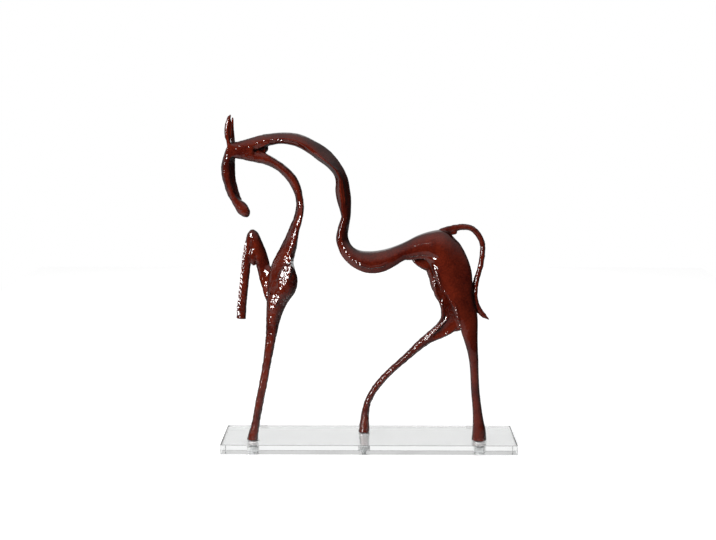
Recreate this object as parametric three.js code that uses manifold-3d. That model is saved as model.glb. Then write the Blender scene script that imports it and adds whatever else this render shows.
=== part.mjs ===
import * as THREE from 'three';
import { mergeVertices } from 'three/addons/utils/BufferGeometryUtils.js';
import Module from 'manifold-3d';

const wasm = await Module();
wasm.setup();

// Abstract horse figurine on a clear plate. Millimetres, +Z up, the nose towards -X.
// The origin is the middle of the plate's underside, and the near side of the horse is -Y.

// Base plate
const plateLength = 300;
const plateDepth = 80;
const plateThickness = 10;
const plateChamfer = 0.6;

// One screw and washer hold each foot from below
const screwDiameter = 4;
const screwLength = 14;
const screwTipChamfer = 0.6;
const screwHeadDiameter = 8;
const screwHeadHeight = 2.8;
const screwHeadRounding = 0.8;
const hexSocketWidth = 2.5;
const hexSocketDepth = 1.6;
const washerDiameter = 9;
const washerThickness = 0.8;
const counterboreDiameter = 12;
const counterboreDepth = 5;
const plateHoleClearance = 0.4;

// Fits: the gap between neighbouring castings and round their pins and the screw threads
const fitClearance = 0.3;
const threadedHoleSpare = 1;

// Pins cast on one piece that plug into a hole of the next
const neckPinDiameter = 4.5;
const throatPinDiameter = 4;
const backPinDiameter = 6;
const legPinDiameter = 4;
const tailPinDiameter = 3.4;
const earPinDiameter = 2;
const pinLength = 5;
const legPinLength = 11;
const tailPinLength = 8.5;
const earPinLength = 6.5;

// Sideways places of the legs, and the thickness of the slim stretches
const nearSide = -17;
const farSide = 14;
const raisedSide = 8;
const foreCannon = 8.2;
const hindCannon = 8.7;
const farCannon = 6.9;
const raisedCannon = 8.8;
const tailThickness = 5.4;
const throatDepth = 13;

// The stretch below the ground line that the flat cut of each foot takes off
const footOvercut = 4;

// Fineness of the faceted surface
const sides = 16;
const roundSides = 24;

// Cross sections, eight corners each, from the outer edge round by the far side, the inner
// edge and the near side. The first number runs from inner (-1) to outer (1), the second
// from the near side (-1) to the far side (1).
const sections = {
  round: [[1, 0], [0.71, 0.71], [0, 1], [-0.71, 0.71], [-1, 0], [-0.71, -0.71], [0, -1], [0.71, -0.71]],
  crest: [[1, 0.15], [0.62, 0.8], [0, 1], [-0.65, 0.78], [-1, 0.1], [-0.85, -0.58], [-0.08, -1], [0.6, -0.62]],
  wedge: [[1, 0.3], [0.75, 0.8], [0, 1], [-0.75, 0.8], [-1, 0.25], [-0.68, -0.42], [-0.22, -1], [0.42, -0.38]],
  lean: [[1, 0.25], [0.7, 0.83], [0, 1], [-0.7, 0.8], [-1, 0], [-0.95, -0.6], [-0.5, -1], [0.48, -0.68]],
  shell: [[1, 0], [0.74, 0.7], [-0.1, 1], [-1, 0.74], [-0.5, 0], [-1, -0.74], [-0.1, -1], [0.74, -0.7]],
  rump: [[1, 0], [0.76, 0.72], [0, 1], [-0.8, 0.72], [-0.86, 0], [-1, -0.62], [-0.12, -1], [0.74, -0.72]],
  blade: [[1, 0.1], [0.78, 0.78], [0, 0.88], [-0.66, 0.5], [-0.93, -0.2], [-1, -0.82], [-0.12, -1], [0.76, -0.72]],
  web: [[1, 0], [0.72, 0.78], [0, 1], [-0.8, 0.82], [-1, -0.1], [-0.84, -0.96], [-0.1, -0.42], [0.74, -0.7]],
  strap: [[1, 0.05], [0.8, 0.8], [0, 1], [-0.75, 0.72], [-1, 0.05], [-0.5, -0.78], [0.2, -1], [0.84, -0.72]],
  shoulder: [[1, 0.3], [0.7, 0.85], [0, 1], [-0.8, 0.7], [-1, 0.05], [-0.72, -0.62], [0.05, -1], [0.66, -0.52]],
  slab: [[1, 0.1], [0.8, 0.8], [0, 1], [-0.85, 0.78], [-1, 0.05], [-0.86, -0.74], [0, -1], [0.78, -0.76]],
  fork: [[1, 0.1], [0.72, 0.86], [0, 0.2], [-0.72, 0.86], [-1, 0.05], [-0.7, -0.84], [0, -0.2], [0.72, -0.84]],
  trough: [[0.05, 0.05], [1, 0.72], [0.25, 1], [-0.7, 0.75], [-1, 0], [-0.72, -0.75], [-0.1, -1], [0.34, -0.8]],
  cupFar: [[0.9, -0.25], [1, 0.35], [0, 0.3], [-1, 0.35], [-0.9, -0.25], [-0.6, -0.8], [0, -1], [0.6, -0.8]],
  cupNear: [[0.9, 0.25], [0.6, 0.8], [0, 1], [-0.6, 0.8], [-0.9, 0.25], [-1, -0.35], [0, -0.3], [1, -0.35]],
};

// Stations along each limb: x, y, height above the plate, width in the side view, depth and
// section, and where the limb bends sharply the angle at which the section leans
const headTop = [
  [-136, 0, 295, 14, 13, 'round'],
  [-126, 0, 297.5, 13, 14, 'round'],
  [-118, 0, 299.5, 13, 15, 'crest'],
  [-110, 0, 302.5, 13, 16, 'crest'],
];

const crest = [
  [-100, 0, 304.8, 12.2, 17, 'crest'],
  [-90, 0, 306.3, 11.4, 17, 'crest'],
  [-80, 0, 305.8, 12.2, 18, 'crest'],
  [-69.5, 0, 303.5, 13.3, 19, 'crest'],
  [-58, 0, 297.5, 14, 20.5, 'crest'],
  [-47.5, 0, 290, 15.8, 22, 'wedge'],
  [-37.4, 0, 281.3, 13.2, 21, 'wedge'],
  [-30, 0, 271, 12, 19, 'wedge'],
  [-27.3, 0, 262, 13.5, 18, 'wedge'],
  [-26.9, 0, 254, 15.2, 18, 'wedge'],
  [-25.4, 0, 244, 15, 18, 'wedge'],
  [-23.8, 0, 234, 11.3, 17, 'lean'],
];

const back = [
  [-23.4, 0, 226.5, 9.4, 16, 'lean'],
  [-25.3, 0, 218.5, 10.6, 17, 'lean'],
  [-27, 0, 210.4, 11.5, 18, 'lean'],
  [-27, 0, 202, 12.8, 20, 'lean'],
  [-22.6, 0, 192.8, 14, 22, 'shell'],
  [-15.5, 0, 186.3, 16.5, 24, 'shell'],
  [-6.7, 0, 182.4, 20, 26, 'shell'],
  [3, 0, 181.1, 21.8, 27, 'shell'],
  [13, 0, 182.6, 21.2, 27, 'shell'],
  [23, 0, 186.4, 18.3, 25.5, 'shell'],
  [33, 0, 191.3, 16, 24, 'shell'],
];

const nearHind = [
  [42.4, -0.5, 194, 19.5, 25, 'shell'],
  [52, -1.5, 197, 24, 27, 'shell'],
  [60.9, -3, 198.2, 30.8, 28, 'rump', 80],
  [69, -6, 196.8, 38, 26, 'rump', 65],
  [76.5, -9.5, 189, 38.2, 21, 'rump', 45],
  [81.7, -12.5, 179.5, 36.6, 16, 'blade', 27],
  [85.4, -14, 170, 35.8, 14, 'blade', 16],
  [89.2, -15, 160.5, 30.6, 13, 'blade'],
  [92.4, -16, 151.5, 24.5, 12.5, 'blade'],
  [95.2, -16.5, 142.5, 21, 12, 'blade'],
  [98, nearSide, 133.5, 19.8, 11.5, 'blade'],
  [100.3, nearSide, 124, 19.6, 11, 'blade'],
  [101.6, nearSide, 114, 17.5, 10.5, 'round'],
  [103.1, nearSide, 103.7, 14.2, 10, 'round'],
  [104.8, nearSide, 93.4, 11.2, 9.5, 'round'],
  [106.1, nearSide, 83, 9.7, 9, 'round'],
  [106.9, nearSide, 72, hindCannon, hindCannon, 'round'],
  [108, nearSide, 52, hindCannon, hindCannon, 'round'],
  [110.2, nearSide, 32, 9.4, 9, 'round'],
  [111.4, nearSide, 20, 11.2, 10, 'round'],
  [112.4, nearSide, 9.5, 14, 12, 'round'],
  [112.5, nearSide, 0, 15.2, 13, 'round'],
  [112.5, nearSide, -footOvercut, 15.2, 13, 'round'],
];

const headUnderside = [
  [-130, 0, 290.5, 12, 12, 'round'],
  [-122, 0, 289.5, 12, throatDepth, 'round'],
  [-114, 0, 288, 12, throatDepth, 'round'],
  [-107, 0, 286, 11.5, throatDepth, 'round'],
];

const throat = [
  [-99.8, 0, 283, 10.2, throatDepth, 'strap'],
  [-91, 0, 278, 9.3, throatDepth, 'strap'],
  [-83.5, 0, 271.7, 9.4, throatDepth, 'strap'],
  [-77, 0, 264, 10, throatDepth, 'strap'],
  [-72.4, 0, 254, 8.6, throatDepth, 'strap'],
  [-70.2, 0, 244, 7.6, throatDepth, 'strap'],
  [-70, -1, 234, 8.6, throatDepth, 'strap'],
];

const nearFore = [
  [-72.2, -2, 224, 9.4, throatDepth, 'strap'],
  [-76, -3, 214, 10.8, 14, 'strap'],
  [-78.5, -4, 204, 13.6, 15, 'strap'],
  [-82, -5, 193.8, 16.4, 15.5, 'shoulder'],
  [-86, -6.5, 183.5, 20, 16, 'shoulder'],
  [-87.2, -8, 173.8, 27.2, 17, 'shoulder'],
  [-87, -9, 165.5, 30.6, 17, 'shoulder'],
  [-88, -10, 157.5, 30, 16.5, 'shoulder'],
  [-90.8, -11.5, 149.5, 25.6, 15.5, 'shoulder'],
  [-93.4, -12.5, 141.5, 21.2, 14, 'shoulder'],
  [-95.4, -13.5, 133, 17.6, 13, 'shoulder'],
  [-97.1, -14.5, 123.5, 14.3, 12, 'shoulder'],
  [-98.4, -15, 113, 12.2, 11, 'round'],
  [-99.9, -15.5, 103, 10.3, 10, 'round'],
  [-101.4, -16, 92.7, 9.3, 9.5, 'round'],
  [-103.2, -16.5, 82, 8.6, 9, 'round'],
  [-106.8, nearSide, 61.8, foreCannon, 8.5, 'round'],
  [-111, nearSide, 41, foreCannon, 8.5, 'round'],
  [-115, nearSide, 20, foreCannon, 8.6, 'round'],
  [-117, nearSide, 9.5, 9.4, 9.8, 'round'],
  [-119.1, nearSide, 0, 11.2, 11, 'round'],
  [-120, nearSide, -footOvercut, 11.2, 11, 'round'],
];

// The two long lines of the horse, each parted where the next stretch begins
const topline = [...headTop, ...crest, ...back, ...nearHind];
const crestStart = headTop.length;
const backStart = crestStart + crest.length;
const rumpStart = backStart + back.length;
const frontline = [...headUnderside, ...throat, ...nearFore];
const throatStart = headUnderside.length;
const shoulderStart = throatStart + throat.length;

const muzzle = [
  [-137, 0, 297, 8, 11, 'round'],
  [-138.8, 0, 292.5, 12, 13, 'round'],
  [-141, 0, 286, 12, 13.5, 'trough'],
  [-142.4, 0, 278.5, 13.7, 14, 'trough'],
  [-142, 0, 269, 13.7, 13.5, 'trough'],
  [-140.6, 0, 261, 12.3, 12.5, 'trough'],
  [-138.3, 0, 253, 12, 11.5, 'trough'],
  [-135.3, 0, 246, 10.6, 10.5, 'trough'],
  [-131.2, 0, 239.3, 11.4, 10.5, 'round'],
  [-127.2, 0, 233.7, 12.4, 11, 'round'],
  [-124.4, 0, 229.6, 9.5, 9, 'round'],
  [-123.2, 0, 227.6, 5.4, 5.4, 'round'],
  [-122.7, 0, 226.6, 1.6, 1.6, 'round'],
];

const cheek = [
  [-142.5, 0, 296.8, 8, 8, 'round'],
  [-139, 0, 295.8, 13.5, 13, 'round'],
  [-134, 0, 294.2, 16.6, 15, 'slab'],
  [-128, 0, 294.5, 18.8, 15.6, 'slab'],
  [-121.5, 0, 294.5, 22.2, 15.6, 'slab'],
  [-117, 0, 294.6, 24, 15.2, 'slab'],
  [-112.5, 0, 294.9, 23.4, 14, 'fork'],
  [-108, 0, 295, 19, 11, 'fork'],
  [-104.5, 0, 295.3, 12, 7, 'fork'],
];

const nearEar = [
  [-139.6, -3.5, 296.5, 5, 6, 'round'],
  [-140.6, -4.5, 301, 4.2, 6, 'round'],
  [-141.8, -5, 307, 4.2, 6.6, 'cupFar'],
  [-142, -5, 313, 4.8, 7, 'cupFar'],
  [-141.6, -5, 319, 4.5, 6.4, 'cupFar'],
  [-140.5, -5, 324, 3.7, 5, 'cupFar'],
  [-139.2, -5, 328, 2.2, 3, 'round'],
  [-138.6, -5, 329.7, 0.8, 1, 'round'],
];

const farEar = [
  [-137, 3.5, 297, 4.4, 5, 'round'],
  [-137.2, 4.3, 302, 4, 6, 'round'],
  [-138, 4.8, 308, 4.6, 6.5, 'cupNear'],
  [-138.6, 5, 313.5, 4.8, 6.5, 'cupNear'],
  [-138.6, 5, 318.5, 4.2, 5.8, 'cupNear'],
  [-138, 5, 322.5, 3, 4.4, 'cupNear'],
  [-137.4, 5, 325.5, 1.6, 2, 'round'],
  [-137.2, 5, 326.7, 0.7, 0.9, 'round'],
];

const raisedForearm = [
  [-97.5, -5, 136, 9, 8, 'round'],
  [-99.5, -3.5, 143, 11, 9, 'round'],
  [-102.3, -1.5, 150, 11.5, 9.5, 'round'],
  [-104.6, 0.5, 158.5, 11.8, 10, 'round'],
  [-106.2, 2.2, 167, 12.4, 10.5, 'round'],
  [-107.8, 3.8, 176, 13, 11, 'round'],
  [-110.2, 5, 184.5, 13.2, 11, 'round'],
  [-113, 6, 193, 12.8, 11, 'round'],
  [-115.8, 7, 201.5, 12, 11, 'round'],
  [-118, raisedSide, 207, 11, 11, 'round'],
  [-119.2, raisedSide, 211, 7.5, 8.5, 'round'],
  [-119.8, raisedSide, 213, 3, 4, 'round'],
];

const raisedShank = [
  [-119.4, raisedSide, 211.6, 4, 5, 'round'],
  [-119.3, raisedSide, 209, 8.8, 9.4, 'round'],
  [-120.5, raisedSide, 203.5, 10.4, 10, 'round'],
  [-122.4, raisedSide, 196, 9.2, 9.2, 'round'],
  [-123.6, raisedSide, 190, raisedCannon, raisedCannon, 'round'],
  [-125, raisedSide, 181, raisedCannon, raisedCannon, 'round'],
  [-127.4, raisedSide, 161, raisedCannon, raisedCannon, 'round'],
  [-129.8, raisedSide, 140, raisedCannon, raisedCannon, 'round'],
  [-130.9, raisedSide, 129.5, 9.3, 9.2, 'round'],
  [-131.6, raisedSide, 121, 9.8, 9.6, 'round'],
];

const farHind = [
  [43.5, 3.5, 187, 11, 10, 'web'],
  [48.5, 4, 188, 21.5, 12, 'web'],
  [57, 5, 188.5, 31, 14, 'web'],
  [67, 6, 187, 34, 15, 'web'],
  [74, 7, 180, 35, 14, 'web'],
  [79, 8, 168, 35, 13, 'web'],
  [83, 10, 152, 35, 12.5, 'web'],
  [87, 11, 138, 29.3, 12.5, 'web'],
  [86.6, 12, 124.5, 25.7, 12.5, 'web'],
  [81, 12.5, 113.3, 20, 12.5, 'web'],
  [71.5, 13, 106, 14.8, 11.5, 'web'],
  [62, 13.5, 100, 11.4, 10, 'round'],
  [53, farSide, 92.8, 9.5, 9, 'round'],
  [43.3, farSide, 83.9, 7.9, 8, 'round'],
  [34.2, farSide, 75.4, farCannon, 7.5, 'round'],
  [24.2, farSide, 66.4, farCannon, 7.5, 'round'],
  [15.2, farSide, 57.2, farCannon, 7.5, 'round'],
  [8.1, farSide, 48.7, farCannon, 7.5, 'round'],
  [2.5, farSide, 40.2, farCannon, 7.5, 'round'],
  [-1.6, farSide, 31, 7.1, 7.6, 'round'],
  [-3.9, farSide, 20.4, 7.9, 8, 'round'],
  [-4.7, farSide, 9.5, 9.8, 9.6, 'round'],
  [-5.2, farSide, 0, 11.4, 11, 'round'],
  [-5.3, farSide, -footOvercut, 11.4, 11, 'round'],
];

const tailLine = [
  [66, -1, 205, 9, 9, 'round'],
  [72, -3, 211, 8.2, 8, 'round'],
  [79, -3.5, 214.5, 7.2, 7.2, 'round'],
  [87, -3.5, 216.2, 6.6, 6.6, 'round'],
  [95, -3.2, 217.3, 6.2, 6.2, 'round'],
  [101.8, -3, 216.8, 6.1, 6, 'round'],
  [107.4, -3, 213.2, 6.2, 6, 'round'],
  [112.6, -3, 206, 5.7, 5.6, 'round'],
  [114.6, -3.5, 200, tailThickness, tailThickness, 'round'],
  [115, -4, 193.8, tailThickness, tailThickness, 'round'],
  [113.8, -5, 182, tailThickness, tailThickness, 'round'],
  [111.3, -7, 172.7, tailThickness, tailThickness, 'round'],
  [108.7, -9.5, 164.4, tailThickness, tailThickness, 'round'],
  [107, -11.5, 156, tailThickness, tailThickness, 'round'],
  [106.8, -12.5, 148, tailThickness, tailThickness, 'round'],
  [108, -13.5, 140.5, tailThickness, tailThickness, 'round'],
  [110.8, -14.5, 134, 5.2, 5, 'round'],
  [114.8, -15, 129.2, 4.4, 4, 'round'],
  [118.8, -15.5, 126.2, 2.8, 2.8, 'round'],
  [121.4, -15.7, 124.6, 1, 1, 'round'],
];

// A section's corners joined by a smooth closed curve, in shares of half the width and depth
function sectionPoints(name) {
  const corners = sections[name].map(([u, v]) => new THREE.Vector3(u, v, 0));
  const curve = new THREE.CatmullRomCurve3(corners, true, 'catmullrom', 0.5);
  return Array.from({ length: sides }, (_, k) => curve.getPoint(k / sides));
}

// The direction in which a limb runs at a station, seen from the side
function directionAt(line, index) {
  const before = line[Math.max(index - 1, 0)];
  const after = line[Math.min(index + 1, line.length - 1)];
  return new THREE.Vector3(after[0] - before[0], 0, after[2] - before[2]).normalize();
}

// The direction from the inner edge to the outer one, square to the limb unless the station
// gives it as an angle above +X, in degrees
function outwardAt(line, index) {
  const lean = line[index][6];
  if (lean !== undefined) {
    const angle = THREE.MathUtils.degToRad(lean);
    return new THREE.Vector3(Math.cos(angle), 0, Math.sin(angle));
  }
  const along = directionAt(line, index);
  return new THREE.Vector3(-along.z, 0, along.x);
}

// The ring of points round a limb at one of its stations
function stationRing(line, index, grow) {
  const [x, y, z, wide, deep, name] = line[index];
  const outward = outwardAt(line, index);
  return sectionPoints(name).map((p) => new THREE.Vector3(x, y, z)
    .addScaledVector(outward, p.x * (wide / 2 + grow))
    .add(new THREE.Vector3(0, p.y * (deep / 2 + grow), 0)));
}

// The triangles that close a ring, all turned the same way
function capTriangles(ring, outward) {
  const centre = ring[0];
  const flat = ring.map((p) => new THREE.Vector2(p.clone().sub(centre).dot(outward), p.y - centre.y));
  return THREE.ShapeUtils.triangulateShape(flat, []).map(([a, b, c]) => {
    const turn = flat[b].clone().sub(flat[a]).cross(flat[c].clone().sub(flat[a]));
    return turn > 0 ? [a, b, c] : [a, c, b];
  });
}

// A closed solid through the stations of a limb, from one place on it to another.
// Places are station numbers and may lie between two stations.
function limb(line, { from = 0, to = line.length - 1, steps = 2, grow = 0 } = {}) {
  const rings = line.map((_, index) => stationRing(line, index, grow));
  const rails = Array.from({ length: sides }, (_, k) => (
    new THREE.CatmullRomCurve3(rings.map((ring) => ring[k]), false, 'catmullrom', 0.5)));
  const places = [from];
  for (let place = Math.floor(from * steps + 1) / steps; place < to - 1e-6; place += 1 / steps) {
    places.push(place);
  }
  places.push(to);
  const loops = places.map((place) => rails.map((rail) => rail.getPoint(place / (line.length - 1))));
  const index = [];
  for (let i = 0; i + 1 < loops.length; i += 1) {
    for (let k = 0; k < sides; k += 1) {
      const a = i * sides + k;
      const b = i * sides + (k + 1) % sides;
      index.push(a, a + sides, b + sides, a, b + sides, b);
    }
  }
  const last = (loops.length - 1) * sides;
  capTriangles(loops[0], outwardAt(line, Math.round(from))).forEach(([a, b, c]) => index.push(a, b, c));
  capTriangles(loops.at(-1), outwardAt(line, Math.round(to)))
    .forEach(([a, b, c]) => index.push(last + a, last + c, last + b));
  const geometry = new THREE.BufferGeometry().setFromPoints(loops.flat());
  geometry.setIndex(index);
  return toSolid(geometry);
}

function toSolid(geometry) {
  const bare = geometry.clone();
  bare.deleteAttribute('normal');
  bare.deleteAttribute('uv');
  const merged = mergeVertices(bare, 1e-4);
  return new wasm.Manifold(new wasm.Mesh({
    numProp: 3,
    vertProperties: new Float32Array(merged.attributes.position.array),
    triVerts: new Uint32Array(merged.index.array),
  }));
}

function toGeometry(solid) {
  const { vertProperties, triVerts } = solid.getMesh();
  const geometry = new THREE.BufferGeometry();
  geometry.setAttribute('position', new THREE.BufferAttribute(vertProperties.slice(), 3));
  geometry.setIndex(new THREE.BufferAttribute(triVerts.slice(), 1));
  geometry.computeVertexNormals();
  return geometry;
}

function join(...solids) {
  return solids.reduce((whole, solid) => whole.add(solid));
}

function cut(solid, ...cutters) {
  return cutters.reduce((rest, cutter) => rest.subtract(cutter), solid);
}

// The largest piece that a cut leaves; the slivers beside it are dropped
function largest(solid) {
  return solid.decompose().sort((a, b) => b.volume() - a.volume())[0];
}

// A round bar between two points
function bar(start, end, diameter) {
  const axis = end.clone().sub(start);
  const geometry = new THREE.CylinderGeometry(diameter / 2, diameter / 2, axis.length(), sides);
  geometry.applyQuaternion(new THREE.Quaternion().setFromUnitVectors(
    new THREE.Vector3(0, 1, 0), axis.clone().normalize()));
  const middle = start.clone().add(end).multiplyScalar(0.5);
  geometry.translate(middle.x, middle.y, middle.z);
  return toSolid(geometry);
}

// The middle of a limb at a place on it: a station number, which may lie between two stations
function middleOf(line, place) {
  const index = Math.min(Math.floor(place), line.length - 2);
  const here = new THREE.Vector3(...line[index].slice(0, 3));
  const next = new THREE.Vector3(...line[index + 1].slice(0, 3));
  return here.lerp(next, place - index);
}

// A pin from inside one casting into the next, and the hole that takes it
function pin(root, along, diameter, length) {
  const direction = along.clone().normalize();
  const tip = root.clone().addScaledVector(direction, length);
  const holeTip = tip.clone().addScaledVector(direction, fitClearance);
  return {
    stud: bar(root, tip, diameter),
    hole: bar(root, holeTip, diameter + 2 * fitClearance),
  };
}

// A pin along a limb, as far before a station as behind it, lifted towards the outer edge
// where the inside is hollow
function linePin(line, index, diameter, lift = 0) {
  const along = directionAt(line, index);
  const root = middleOf(line, index)
    .addScaledVector(outwardAt(line, index), lift * line[index][3] / 2)
    .addScaledVector(along, -pinLength);
  return pin(root, along, diameter, 2 * pinLength);
}

// A pin from the middle of a branch towards the middle of the limb that carries it
function branchPin(branch, place, carrier, carrierPlace, diameter, length) {
  const root = middleOf(branch, place);
  return pin(root, middleOf(carrier, carrierPlace).sub(root), diameter, length);
}

// Where the next casting of a line begins, one gap past the station that ends the last one
function pastGap(line, index) {
  return index + fitClearance / middleOf(line, index).distanceTo(middleOf(line, index + 1));
}

// The screw of a foot stands midway between the sole and the middle of the ankle above it
function screwPlace(line) {
  const ankle = line.at(-3);
  const sole = line.at(-2);
  return new THREE.Vector2((ankle[0] + sole[0]) / 2, (ankle[1] + sole[1]) / 2);
}

const screwReach = screwLength - (plateThickness - counterboreDepth) - washerThickness;

function threadedHole(place) {
  return bar(
    new THREE.Vector3(place.x, place.y, -footOvercut),
    new THREE.Vector3(place.x, place.y, screwReach + threadedHoleSpare),
    screwDiameter + 2 * fitClearance,
  );
}

// Everything below the ground line, which the soles are cut flat by
function belowGround() {
  const geometry = new THREE.BoxGeometry(plateLength, plateDepth, 2 * footOvercut);
  geometry.translate(0, 0, -footOvercut);
  return toSolid(geometry);
}

// The pins between the castings. A branch's pin names a place on the branch and one on the
// limb that carries it.
const pins = {
  neck: linePin(topline, crestStart, neckPinDiameter),
  throat: linePin(frontline, throatStart, throatPinDiameter),
  withers: linePin(topline, backStart, neckPinDiameter),
  back: linePin(topline, rumpStart, backPinDiameter, 0.35),
  shoulder: linePin(frontline, shoulderStart, throatPinDiameter),
  nearEar: branchPin(nearEar, 1.4, cheek, 1, earPinDiameter, earPinLength),
  farEar: branchPin(farEar, 1.3, cheek, 1, earPinDiameter, earPinLength),
  raisedLeg: branchPin(raisedForearm, 2, nearFore, 8, legPinDiameter, legPinLength),
  farHind: branchPin(farHind, 4, nearHind, 4, legPinDiameter, legPinLength),
  tail: branchPin(tailLine, 2, nearHind, 3, tailPinDiameter, tailPinLength),
};

const feet = {
  front: screwPlace(frontline),
  middle: screwPlace(farHind),
  rear: screwPlace(topline),
};

function headSolid(grow = 0) {
  return join(
    limb(muzzle, { grow }),
    limb(cheek, { grow }),
    limb(topline, { from: 1, to: crestStart, grow }),
    limb(frontline, { from: 1, to: throatStart, grow }),
  );
}

function nearForelegSolid(grow = 0) {
  return limb(frontline, { from: pastGap(frontline, shoulderStart), grow });
}

function backSolid({ to = rumpStart, grow = 0 } = {}) {
  return limb(topline, { from: pastGap(topline, backStart), to, grow });
}

function nearHindSolid(grow = 0) {
  return limb(topline, { from: pastGap(topline, rumpStart), grow });
}

// Castings
function head() {
  return cut(
    join(headSolid(), pins.neck.stud, pins.throat.stud),
    pins.nearEar.hole,
    pins.farEar.hole,
  );
}

function ear(line, earPin) {
  return join(largest(cut(limb(line, { steps: 1 }), headSolid(fitClearance))), earPin.stud);
}

function crestBand() {
  const band = limb(topline, { from: pastGap(topline, crestStart), to: backStart });
  return cut(join(band, pins.withers.stud), pins.neck.hole);
}

function backBand() {
  return cut(join(backSolid(), pins.back.stud), pins.withers.hole);
}

function throatBand() {
  const band = limb(frontline, { from: pastGap(frontline, throatStart), to: shoulderStart });
  return cut(join(band, pins.shoulder.stud), pins.throat.hole);
}

function nearForeleg() {
  return cut(
    nearForelegSolid(),
    pins.shoulder.hole,
    pins.raisedLeg.hole,
    threadedHole(feet.front),
    belowGround(),
  );
}

function raisedForeleg() {
  const leg = join(limb(raisedForearm, { steps: 1 }), limb(raisedShank, { steps: 1 }));
  return join(largest(cut(leg, nearForelegSolid(fitClearance))), pins.raisedLeg.stud);
}

function nearHindLeg() {
  return cut(
    nearHindSolid(),
    pins.back.hole,
    pins.farHind.hole,
    pins.tail.hole,
    threadedHole(feet.rear),
    belowGround(),
  );
}

function farHindLeg() {
  const backWithGap = backSolid({ to: pastGap(topline, rumpStart), grow: fitClearance });
  const leg = largest(cut(limb(farHind), nearHindSolid(fitClearance), backWithGap));
  return cut(join(leg, pins.farHind.stud), threadedHole(feet.middle), belowGround());
}

function tail() {
  return join(largest(cut(limb(tailLine, { steps: 1 }), nearHindSolid(fitClearance))), pins.tail.stud);
}

// Base plate: a chamfered slab with a counterbored hole under each foot
function basePlate() {
  const x = plateLength / 2 - plateChamfer;
  const y = plateDepth / 2 - plateChamfer;
  const outline = new THREE.Shape([
    new THREE.Vector2(-x, -y),
    new THREE.Vector2(x, -y),
    new THREE.Vector2(x, y),
    new THREE.Vector2(-x, y),
  ]);
  const slab = new THREE.ExtrudeGeometry(outline, {
    depth: plateThickness - 2 * plateChamfer,
    bevelThickness: plateChamfer,
    bevelSize: plateChamfer,
    bevelSegments: 1,
  });
  slab.translate(0, 0, plateChamfer);
  const holes = Object.values(feet).flatMap((place) => [
    plateHole(place, screwDiameter + 2 * plateHoleClearance, 2 * plateThickness),
    plateHole(place, counterboreDiameter, 2 * counterboreDepth),
  ]);
  return cut(toSolid(slab), ...holes);
}

// A round hole centred on the plate's underside, half of its height inside the plate
function plateHole(place, diameter, height) {
  const geometry = new THREE.CylinderGeometry(diameter / 2, diameter / 2, height, roundSides);
  geometry.rotateX(Math.PI / 2);
  geometry.translate(place.x, place.y, height > plateThickness ? plateThickness / 2 : 0);
  return toSolid(geometry);
}

// Pan-head screw with a hexagon socket, its head's flat face at height 0 and its tip up
function footScrew() {
  const shank = screwDiameter / 2;
  const crown = screwHeadDiameter / 2;
  const profile = [
    [0, -screwHeadHeight],
    [crown - screwHeadRounding, -screwHeadHeight],
    [crown, screwHeadRounding - screwHeadHeight],
    [crown, 0],
    [shank, 0],
    [shank, screwLength - screwTipChamfer],
    [shank - screwTipChamfer, screwLength],
    [0, screwLength],
  ].map(([r, z]) => new THREE.Vector2(r, z));
  const body = new THREE.LatheGeometry(profile, roundSides);
  body.rotateX(Math.PI / 2);
  const acrossCorners = hexSocketWidth / Math.cos(Math.PI / 6);
  const socket = new THREE.CylinderGeometry(acrossCorners / 2, acrossCorners / 2, 2 * hexSocketDepth, 6);
  socket.rotateX(Math.PI / 2);
  socket.translate(0, 0, -screwHeadHeight);
  return cut(toSolid(body), toSolid(socket));
}

// Plain washer, its upper face at height 0
function footWasher() {
  const inner = screwDiameter / 2 + fitClearance;
  const outer = washerDiameter / 2;
  const profile = [
    [inner, -washerThickness],
    [outer, -washerThickness],
    [outer, 0],
    [inner, 0],
    [inner, -washerThickness],
  ].map(([r, z]) => new THREE.Vector2(r, z));
  const ring = new THREE.LatheGeometry(profile, roundSides);
  ring.rotateX(Math.PI / 2);
  return toSolid(ring);
}

// Materials
function lacquer() {
  return new THREE.MeshStandardMaterial({ color: 0x5a160d, roughness: 0.18, metalness: 0 });
}

function clearAcrylic() {
  return new THREE.MeshStandardMaterial({
    color: 0xf2f5f5, roughness: 0.05, metalness: 0, transparent: true, opacity: 0.35,
  });
}

function zincSteel() {
  return new THREE.MeshStandardMaterial({ color: 0xb9bcbf, roughness: 0.3, metalness: 1 });
}

function named(name, solid, material) {
  const mesh = new THREE.Mesh(toGeometry(solid), material);
  mesh.name = name;
  return mesh;
}

const castings = {
  head: head(),
  near_ear: ear(nearEar, pins.nearEar),
  far_ear: ear(farEar, pins.farEar),
  crest_band: crestBand(),
  throat_band: throatBand(),
  back_band: backBand(),
  near_foreleg: nearForeleg(),
  raised_foreleg: raisedForeleg(),
  near_hind_leg: nearHindLeg(),
  far_hind_leg: farHindLeg(),
  tail: tail(),
};

const horse = new THREE.Group();
horse.position.z = plateThickness;
for (const [name, solid] of Object.entries(castings)) {
  horse.add(named(name, solid, lacquer()));
}

const base = new THREE.Group();
base.add(named('base_plate', basePlate(), clearAcrylic()));
for (const [name, place] of Object.entries(feet)) {
  const washer = named(`${name}_foot_washer`, footWasher(), zincSteel());
  washer.position.set(place.x, place.y, counterboreDepth);
  const screw = named(`${name}_foot_screw`, footScrew(), zincSteel());
  screw.position.set(place.x, place.y, counterboreDepth - washerThickness);
  base.add(washer, screw);
}

const figurine = new THREE.Group();
figurine.add(base, horse);

export default figurine;
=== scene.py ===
import math

import bmesh
import bpy
import numpy as np
from mathutils import Matrix, Vector, noise
from mathutils.bvhtree import BVHTree


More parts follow.
